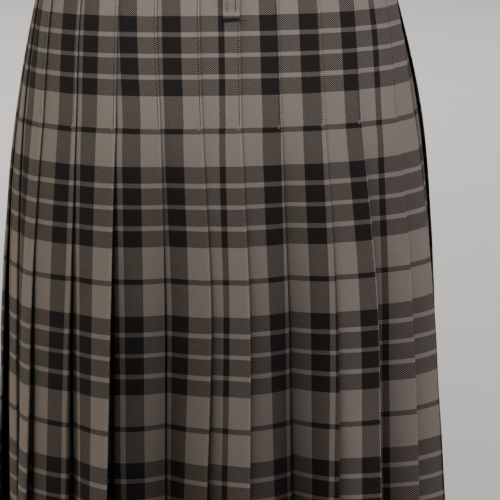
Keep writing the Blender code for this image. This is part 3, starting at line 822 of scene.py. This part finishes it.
def apronLine(side, shares, depth, added=0.0):
    # around and relief of an apron: from its seam, where it leaves the pleats' level over a short
    # ease, round the front to its free edge, with even waves and a few soft folds below the hip
    shape = apronShape[side]
    down = np.asarray(depth, float)[:, None]
    girth = girthAt(depth)[:, None]
    edge = edgeAt(depth, shape["edge"])[:, None]
    folds = np.array(pleats["folds"])
    swing = swingAt(down)
    if side == "over":
        seam = edgeAt(depth, pleats["firstSeam"])[:, None] - pleats["seamGap"]
        edge = edge - girth
        start = folds[0, 5] / 1000 * swing
    else:
        seam = edgeAt(depth, folds[-1, :5])[:, None] + pleats["underStart"]
        edge = edge + girth
        start = folds[-1, 5] / 1000 * swing - 2 * pitchAt(down)
    run = np.abs(edge - seam) * shares
    rise = eased(run / apronShape["ease"])
    fade = eased((1 - shares) * 6) if side == "over" else 1.0
    relief = start * (1 - rise) + shape["stand"] * rise
    relief = relief + shape["wave"] * swing * np.sin(shape["waves"] * np.pi * shares) ** 2 * fade
    for top, hem, since, width, height in shape["folds"]:
        centre = top + (hem - top) * eased((down - since) / (body["length"] - since))
        grow = eased((down - since) / (body["length"] - since) * 1.3)
        relief = relief + height / 1000 * grow * bell((shares - centre) / width)
    return seam + (edge - seam) * shares, relief + added, run


def apron(side):
    shape = apronShape[side]
    shares = np.linspace(0, 1, apronShape["columns"])[None]
    around, relief, run = apronLine(side, shares, depths)
    points = wrap(around, relief + 0.5 * unevenness(around, depths[:, None]), depths)
    uv = clothUv((run - run[:, -1:] / 2) / sett["acrossUnit"], depths[:, None])
    piece = clothShell(side.title() + "Apron", points, uv, clothShape["thick"], tartan)
    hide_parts(shape["node"])
    width = float(run[:, -1].mean())
    # One row of stitches holds the turned free edge
    inset = 1 - apronShape["rowFromEdge"] / run[:, -1:]
    around, relief, _ = apronLine(side, inset, depths, clothShape["thick"] / 2)
    line, out = lineOut(lambda rise: wrap(around, relief + rise, depths)[:, 0])
    hang = slice(9, len(depths) - 1)  # from under the band to just above the hem
    return width, stitchRow(line[hang], out[hang], apronShape["stitch"])


apronWidths, apronRows = {}, []
for side in ("over", "under"):
    apronWidths[side], row = apron(side)
    apronRows.append(row)
stitchPiece("ApronEdgeStitches", apronRows, darkThread)
print("aprons hung, widths", {k: round(v, 3) for k, v in apronWidths.items()})

bandShape = {
    "height": 0.038,
    "turnIn": 0.020,
    "clear": 0.0014,
    "backSlack": 0.0012,
    "top": 0.0008,
    "thick": 0.0011,
    "puff": 0.0005,
    "pull": 0.0003,
    "pullWidth": 0.0008,
    "rowUp": 0.0022,
    "stitch": {**stitchShape, "pitch": 0.0034, "length": 0.0023},
}


def bandSection():
    # Along the folded strip: depth and share outward, from its outer lower edge, over the top, to
    # its inner edge
    height, turnIn = bandShape["height"], bandShape["turnIn"]
    outer = np.array([1.0, 0.985, 0.96, 0.93, 0.88, 0.78, 0.65, 0.5, 0.35, 0.2, 0.1, 0.04]) * height
    turn = np.linspace(0, np.pi, 13)
    share = np.sign(np.cos(turn)) * np.abs(np.cos(turn)) ** 0.6
    over = -bandShape["top"] * np.sin(turn) ** 0.8
    inner = np.linspace(0.05, 1, 8) * turnIn
    depth = np.concatenate([outer, over, inner])
    return depth, np.concatenate([np.ones(len(outer)), share, -np.ones(len(inner))])


def bandPiece(node, arounds, reliefs, outer, inner):
    # arounds and reliefs give the line that it lies on at each depth, and outer and inner are its
    # heights over that line
    depth, share = bandSection()
    level = np.maximum(depth, 0.0)
    middle, half = (outer + inner) / 2, (outer - inner) / 2
    # The outer side swells a little and is pulled in along its row of stitches
    fromRow = (bandShape["height"] - depth - bandShape["rowUp"]) / bandShape["pullWidth"]
    swell = np.sin(np.clip(depth / bandShape["height"], 0, 1) * np.pi) * bandShape["puff"]
    swell = (swell - bandShape["pull"] * bell(fromRow)) * (share > 0.99)
    around = arounds(level)
    relief = reliefs(level) + (middle + half * share + swell)[:, None]
    points = wrap(around, relief, level)
    points[..., 2] = -depth[:, None]
    # The strip is cut straight, so its check stays square to its edges
    run = np.abs(around - around[:, :1]).mean(axis=0)
    across = np.broadcast_to(run / sett["acrossUnit"], around.shape)
    width = float(run[-1])
    along = runAlong(np.stack([depth, half * share], 1))
    uv = clothUv(across, (bandShape["height"] - along)[:, None])
    piece = clothShell(node.title().replace("_", ""), points, uv, bandShape["thick"], tartan)
    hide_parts(node)
    level = np.array([bandShape["height"] - bandShape["rowUp"]])
    around, relief = arounds(level), reliefs(level) + outer + bandShape["thick"] / 2 - stitchShape["seat"]
    line, out = lineOut(lambda rise: wrap(around, relief + rise, level)[0])
    return width, stitchRow(line, out, bandShape["stitch"])


def backBandAround(level):
    edges = pleatSizes(level)["edges"]
    shares = np.linspace(0, 1, 320)
    return edges[:, :1] + (edges[:, -1:] - edges[:, :1]) * shares


bandWidths, bandRows = {}, []
for side in ("over", "under"):
    shares = np.linspace(0, 1, 170)[None]
    lines = [lambda level, side=side, k=k: apronLine(side, shares, level)[k] for k in (0, 1)]
    bandWidths[side], row = bandPiece("band_" + side, *lines, bandShape["clear"], -bandShape["clear"])
    bandRows.append(row)
# Six layers of pleated cloth lie inside the band at the back
innerFace = -6 * pleats["pitchAtFell"] - bandShape["clear"] - bandShape["backSlack"]
lines = backBandAround, lambda level: 0.0
bandWidths["back"], row = bandPiece("band_back", *lines, bandShape["clear"], innerFace)
bandRows.append(row)
stitchPiece("BandStitches", bandRows, darkThread)
print("waistband on, lengths", {k: round(v, 3) for k, v in bandWidths.items()})

loopShape = {
    "places": {"loop_back": 0.0058, "loop_front_left": -0.345, "loop_front_right": 0.345},
    "width": 0.0144,
    "thick": 0.0016,
    "bottom": 0.080,
    # Depth and height, over the band's face above its lower edge and over the pleats below it
    "knots": [(0.0005, 0.0), (0.006, 0.0), (0.016, 0.0024), (0.032, 0.0030), (0.050, 0.0036),
              (0.066, 0.0024), (0.073, 0.0002), (0.080, 0.0003)],
    "spans": [(0.0005, 0.006, 6), (0.008, 0.070, 40), (0.071, 0.080, 10)],  # rows of points: from, to, count
    "rows": 0.0036,  # its two rows of stitches, each so far from its middle
    "stitch": {**stitchShape, "pitch": 0.0028},
    "round": 0.0007,
    "endRound": 0.0012,
    "foot": {"from": 0.0735, "over": 0.002, "thicker": 0.5},  # its end is turned under
    "groove": 0.00028,
    "grooveWidth": 0.0006,
    # Dark bar tack below the foot, also standing in as a painted shadow of the loop
    "barTackAndShadow": [(0.0004, 0.0), (0.0011, 0.0), (0.0018, 0.006)],  # drop below the foot, length of the tail
    "barStitch": {**stitchShape, "pitch": 0.0020, "length": 0.0021, "radius": 0.00045},
    "check": 18.0,
}


def wallGrid(around, relief, depth):
    # around is counted at the waist and spreads with the girth
    spread = girthAt(depth) / girthAt(0.0)
    return wrap(around * spread[:, None], relief, depth)


def topRelief(around):
    # The outer face of the waistband: over the pleats it lies on the body, on the apron over its stand
    whole = girthAt(0.0)[0]
    shares = np.linspace(0, 1, 400)[None]
    line, relief, _ = apronLine("over", shares, np.array([0.0]))
    at = around if around < line[0, 0] else around - whole
    base = 1.5 * clothShape["wall"] + pleats["seamGap"]
    if at < line[0, -1]:
        return base
    return base + float(np.interp(-at, -line[0], relief[0]))


def roundEdge(x, half, radius):
    # 1 in the flat of a strip and down to 0 at its edge, as a quarter circle
    inside = np.clip((half - np.abs(x)) / radius, 0.0, 1.0)
    return np.sqrt(np.maximum(0.0, 1 - (1 - inside) ** 2))


def edgeSpaced(half, radius, count):
    # Places across a strip, close together where its edges are round
    curve = radius * (1 - np.cos(np.linspace(0, np.pi / 2, 6)))
    flat = np.linspace(-half + radius, half - radius, count)[1:-1]
    return np.concatenate([-half + curve, flat, half - curve[::-1]])


def beltLoop(node, around):
    shape = loopShape
    base = topRelief(around)
    close = shape["thick"] / 2 + pleats["seamGap"]
    below = base - clothShape["wall"] - pleats["seamGap"]
    at, rise = np.array(shape["knots"]).T
    depth = np.concatenate([np.linspace(*span) for span in shape["spans"]])
    relief = curveThrough(depth, at, np.where(at < bandShape["height"], base, below) + close + rise)[:, None]
    half = shape["width"] / 2
    across = edgeSpaced(half, shape["round"], 14)[None]
    points = wallGrid(around + across, relief, depth)
    ends = eased((depth - 0.0002) / shape["endRound"])
    ends = ends * eased((shape["bottom"] + 0.0003 - depth) / shape["endRound"])
    thick = shape["thick"] * roundEdge(across, half, shape["round"]) * np.maximum(0.05, ends)[:, None]
    foot = shape["foot"]
    thick = thick * (1 + foot["thicker"] * eased((depth - foot["from"]) / foot["over"]))[:, None]
    fromRow = (np.abs(across) - shape["rows"]) / shape["grooveWidth"]
    press = shape["groove"] * bell(fromRow) * np.ones((len(depth), 1))
    run = np.broadcast_to(shape["check"] + across / sett["acrossUnit"], press.shape)
    uv = clothUv(run, depth[:, None])
    piece = clothShell(node.title().replace("_", ""), points, uv, thick, tartan, press)
    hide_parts(node)
    rows = []
    for x in (-shape["rows"], shape["rows"]):
        place = np.full((len(depth), 1), around + x)
        top = relief + shape["thick"] / 2 - stitchShape["seat"]
        line, out = lineOut(lambda rise: wallGrid(place, top + rise, depth)[:, 0])
        rows.append(stitchRow(line[3:-2], out[3:-2], shape["stitch"]))
    # A bar of dark thread across its foot, the last row ending in a short tail. It is a bar tack and also a
    # painted shadow where the loop's foot shades the pleats.
    for drop, tail in shape["barTackAndShadow"]:
        across = np.linspace(-half, half + tail, 12)[None]
        at = np.array([shape["bottom"] + drop])
        line, out = lineOut(lambda rise: wallGrid(around + across, below + pleats["seamGap"] + rise, at)[0])
        rows.append(stitchRow(line, out, shape["barStitch"]))
    return rows


loopRows = []
for node, around in loopShape["places"].items():
    loopRows += beltLoop(node, around)
stitchPiece("LoopStitches", loopRows, darkThread)
print("belt loops sewn on")

strapShape = {
    "depth": 0.019,
    "width": 0.024,
    "thick": 0.0022,
    "buckle": 0.198,
    "starts": {"right": 0.288, "left": 0.262},
    "apronStep": (0.252, 0.232, 0.224),
    "rise": (0.019, 0.009),
    "riseStart": 0.0004,
    "tip": [(-0.036, 0.0), (-0.048, 0.0006), (-0.054, 0.0008)],  # place from the buckle, drop
    "tipLength": 0.012,
    "tipPower": 2.2,
    "tab": (0.002, -0.032),
    "tabWidth": 0.92,  # of the strap's
    "holes": (-0.011, 0.0, 0.012, -0.022),
    "holeRadius": 0.0015,
    "crease": 0.0024,
    "creaseDepth": 0.00025,
    "creaseWidth": 0.0004,
    "rod": 0.0016,
    "reach": 0.0105,
    "overlap": 0.0045,
    "corner": 0.0045,
    "tongue": {"reach": 0.0115, "radius": 0.0011, "taper": 0.00025, "sag": 0.0004},
    "keeper": {"place": -0.030, "half": 0.0035, "thick": 0.0014, "foot": 0.004, "bend": 0.0012},
}


def leatherStrip(name, side, knots, half, tip, holes=()):
    # A level strip round the body: a rounded section carried along (place, height) knots, narrowed
    # to a point at its tip, with a crease inside each edge and punched holes
    shape = strapShape
    knots = np.array(knots)
    length = abs(knots[-1, 0] - knots[0, 0])
    run = np.linspace(0, length, max(30, int(length / 0.0009)))
    relief = np.interp(run, np.abs(knots[:, 0] - knots[0, 0]), knots[:, 1])
    kernel = np.ones(9) / 9
    relief = np.convolve(np.pad(relief, 4, mode="edge"), kernel, mode="valid")
    around = side * (knots[0, 0] + run * np.sign(knots[-1, 0] - knots[0, 0]))
    across = edgeSpaced(half, shape["thick"] / 2, 30)
    grid = wallGrid(np.broadcast_to(around, (len(across), len(run))), relief[None], shape["depth"] + across)
    middle = wallGrid(around[None], relief[None], np.array([shape["depth"]]))
    left = length - run
    narrow = np.ones(len(run))
    if tip:
        narrow = np.sqrt(np.clip(1 - (1 - np.clip(left / tip, 0, 1)) ** shape["tipPower"], 0.02, 1))
    points = middle + (grid - middle) * narrow[None, :, None]
    ends = roundEdge(run - length / 2, length / 2, shape["thick"] / 2)
    thick = shape["thick"] * roundEdge(across, half, shape["thick"] / 2)[:, None] * np.maximum(ends, 0.05)
    inset = (half - np.abs(across))[:, None] * narrow
    crease = bell((inset - shape["crease"]) / shape["creaseWidth"])
    press = shape["creaseDepth"] * crease * (left > 0.003)
    for hole in holes:
        away = np.hypot(across[:, None], np.abs(around)[None] - shape["buckle"] - hole)
        rim = (away - shape["holeRadius"] * 0.7) / (shape["holeRadius"] * 0.5)
        press = press + shape["thick"] / 2 * (1 - eased(rim))
    uv = np.stack(np.broadcast_arrays(run[None] * 1000, across[:, None] * 1000), 2)
    return clothShell(name, points, uv, thick, leather, press)


def tube(name, spine, radius, finish, closed=False, sides=14):
    # A round section carried along a spine; an open one is rounded off at its ends
    way, up = np.gradient(spine, axis=0), (0.0, 0.0, 1.0)
    if closed:
        way = np.roll(spine, -1, 0) - np.roll(spine, 1, 0)
        up = np.cross(spine[len(spine) // 3] - spine[0], spine[len(spine) // 2] - spine[0])
    rings = ringsRound(unit(way), up, sides)
    points = spine[:, None] + rings * np.broadcast_to(radius, len(spine))[:, None, None]
    faces = gridFaces(len(spine), sides, closed=True)
    last = (len(spine) - 1) * sides
    if closed:
        j = np.arange(sides)
        faces = np.vstack([faces, np.stack([last + j, j, (j + 1) % sides, last + (j + 1) % sides], 1)])
    else:
        fan = np.array([[0, k, k + 1, k + 2] for k in range(1, sides - 1, 2)])
        faces = np.vstack([faces, fan, fan[:, ::-1] + last])
    flatPoints = points.reshape(-1, 3)
    return meshPiece(name, flatPoints, facedOut(flatPoints, faces), finish, sharp=60)


def strapHeights():
    # Over the body: the face that the straps lie on, the middle of the tab and of a strap beside it,
    # and the middle of a strap that lies over the tab
    gap, thick = pleats["seamGap"], strapShape["thick"]
    face = 1.5 * clothShape["wall"] + 2 * gap
    low = face + thick / 2
    return face, low, low + thick + 2 * gap


def strapAndTab(word, side):
    # The right strap is sewn to the over-apron and steps down from it
    shape = strapShape
    low, high = strapHeights()[1:]
    thick, half, place = shape["thick"], shape["width"] / 2, shape["buckle"]
    flatAt, stepAt, footAt = shape["apronStep"]
    knots = [(shape["starts"][word], low), (footAt, low)]
    if side > 0:
        over = topRelief(flatAt) + pleats["seamGap"] + thick / 2
        knots = [(shape["starts"][word], over), (stepAt, over), (footAt, low + thick)]
    start, end = shape["rise"]
    knots += [(place + start, low + shape["riseStart"]), (place + end, high), (place, high)]
    knots += [(place + at, high - drop) for at, drop in shape["tip"]]
    strap = leatherStrip("Strap" + word.title(), side, knots, half, shape["tipLength"], shape["holes"])
    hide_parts("strap_" + word)
    knots = [(place + at, low) for at in shape["tab"]]
    tab = leatherStrip("BuckleTab" + word.title(), side, knots, half * shape["tabWidth"], 0.0)
    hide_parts("buckle_tab_" + word)


def buckleAndTongue(word, side):
    # The buckle's rod runs round a rectangle with round corners, bent to the body
    shape, size = strapShape, strapShape["tongue"]
    place, rod, corner = shape["buckle"], shape["rod"], shape["corner"]
    height = shape["width"] / 2 + shape["overlap"]
    level = strapHeights()[2] + shape["thick"] / 2 + pleats["seamGap"] + rod
    turn = np.linspace(0, 2 * np.pi, 96, endpoint=False) + 1e-6
    along = (shape["reach"] - corner) * np.sign(np.cos(turn)) + corner * np.cos(turn)
    up = (height - corner) * np.sign(np.sin(turn)) + corner * np.sin(turn)
    spine = wallGrid((side * (place + along))[:, None], level, shape["depth"] - up)[:, 0]
    buckle = tube("Buckle" + word.title(), spine, rod, nickel, closed=True)
    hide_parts("buckle_" + word)

    reach = np.linspace(1, -1, 26)
    height = level + rod + pleats["seamGap"] + size["radius"] - size["sag"] * (1 - reach**2)
    around = (side * (place + size["reach"] * reach))[None]
    spine = wallGrid(around, height[None], np.array([shape["depth"]]))[0]
    slim = np.sqrt(np.clip(1 - np.abs(reach) ** 14, 0.01, 1)) * (size["radius"] + size["taper"] * reach)
    tongue = tube("BuckleTongue" + word.title(), spine, slim, nickel)
    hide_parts("buckle_tongue_" + word)


def strapKeeper(word, side):
    # It bridges the strap's end: a foot, a side, half of the top, and the same mirrored
    shape, keep = strapShape, strapShape["keeper"]
    face, _, high = strapHeights()
    wall, bend, gap = keep["thick"], keep["bend"], pleats["seamGap"]
    foot, top = face + gap + wall / 2, high + shape["thick"] / 2 + gap
    edge = shape["width"] / 2 + gap + wall / 2
    upper = [(edge + keep["foot"], foot), (edge + bend / 2, foot + bend / 4), (edge, foot + bend)]
    upper += [(edge, top), (edge - bend, top + wall / 2)]
    line = np.array(upper + [(0.0, top + wall / 2 + 0.0002)] + [(-x, y) for x, y in upper[::-1]])
    run = runAlong(line)
    fine = np.linspace(0, run[-1], 70)
    up, relief = np.interp(fine, run, line[:, 0]), np.interp(fine, run, line[:, 1])
    across = edgeSpaced(keep["half"], wall / 2, 8)
    around = side * (shape["buckle"] + keep["place"]) + np.broadcast_to(across, (70, len(across)))
    points = wallGrid(around, relief[:, None], shape["depth"] - up)
    ends = roundEdge(fine - run[-1] / 2, run[-1] / 2, wall / 2)
    thick = wall * roundEdge(across, keep["half"], wall / 2)[None] * np.maximum(ends, 0.05)[:, None]
    uv = np.stack(np.broadcast_arrays(fine[:, None] * 1000, across[None] * 1000), 2)
    keeper = clothShell("Keeper" + word.title(), points, uv, thick, leather)
    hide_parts("keeper_" + word)


for word, side in (("right", 1), ("left", -1)):
    strapAndTab(word, side)
    buckleAndTongue(word, side)
    strapKeeper(word, side)
print("straps buckled")

view = {
    "from": (0.1918, 2.7433, 0.22),
    "at": (-0.0185, 0.155, -0.2885),
    "lens": 207.6,
    "sensor": 36,
    "far": 50,
    "tilt": -0.4,  # degrees; below zero the right side of the view is lifted
}


def aimed(obj, start, target, tilt=0.0):
    # Looks from start to target: the axes are the way, its level right side and their cross product
    start, target = np.array(start, float), np.array(target, float)
    way = unit(target - start)
    right = unit(np.cross(way, (0, 0, 1)))
    up = np.cross(right, way)
    c, s = np.cos(np.radians(tilt)), np.sin(np.radians(tilt))
    right, up = c * right + s * up, c * up - s * right
    matrix = np.eye(4)
    matrix[:3] = np.stack([right, up, -way, start], 1)
    obj.matrix_world = Matrix(matrix.tolist())


camera = placed("camera", bpy.data.cameras.new("camera"))
camera.data.lens = view["lens"]
camera.data.sensor_width = view["sensor"]
camera.data.clip_end = view["far"]
aimed(camera, view["from"], view["at"], view["tilt"])
bpy.context.scene.camera = camera

studio = {
    "floorSize": 40.0,
    "floorDepth": 0.612,
    "floorLook": {
        "colours": ((0.7566, 0.7469, 0.7275, 1), (0.78, 0.77, 0.75, 1)),
        "roughness": (0.85, 0.85),
        "scale": 3.0,
        "detail": 2.0,
    },
    "air": (0.80, 0.82, 0.85, 1),
    "airStrength": 0.04,
    # From, at, size, power, colour
    "lamps": {
        "left": [(1.275, 0.345, -0.137), (0, 0.12, -0.25), 0.5, 2.3, (1.0, 0.80, 0.65)],
        "right": [(-1.275, 0.345, -0.137), (0, 0.12, -0.25), 0.5, 2.5, (0.93, 0.90, 1.0)],
        "highLeft": [(0.1875, 0.445, 0.40), (0, 0.12, -0.25), 0.5, 2.25, (0.96, 1.0, 0.96)],
        "highRight": [(-0.1875, 0.445, 0.40), (0, 0.12, -0.25), 0.5, 2.65, (1.0, 0.92, 0.96)],
        "sideLeft": [(1.35, -0.8, 0.25), (0, 0, -0.3), 0.8, 4.0, (1.0, 0.96, 0.92)],
        "sideRight": [(-1.35, -0.8, 0.25), (0, 0, -0.3), 0.8, 4.0, (1.0, 0.96, 0.92)],
        "front": [(0.6, -2.3, 1.4), (0, 0, -0.3), 1.5, 18, (1.0, 0.96, 0.9)],
        "floor": [(0, -3.8, 2.8), (0, -4.0, -0.6), 3.0, 170, (1.0, 0.98, 0.95)],
    },
}


def makeFloor():
    half = studio["floorSize"] / 2
    z = -studio["floorDepth"]
    mesh = bpy.data.meshes.new("floor")
    corners = [(-half, -half, z), (half, -half, z), (half, half, z), (-half, half, z)]
    mesh.from_pydata(corners, [], [(0, 1, 2, 3)])
    mesh.materials.append(mottledFinish("floorPaint", "floor", studio["floorLook"])["material"])
    floor = placed("floor", mesh)


def makeLights():
    world = bpy.data.worlds.new("studioAir")
    world.use_nodes = True
    tree = world.node_tree
    setInputs(tree, tree.nodes["Background"], {"Color": studio["air"], "Strength": studio["airStrength"]})
    bpy.context.scene.world = world
    for name, (start, target, size, power, colour) in studio["lamps"].items():
        light = bpy.data.lights.new(name, "AREA")
        light.size = size
        light.energy = power
        light.color = colour
        holder = placed(name, light)
        holder.visible_camera = False
        aimed(holder, start, target)


makeFloor()
makeLights()
print("camera, floor and lights set")
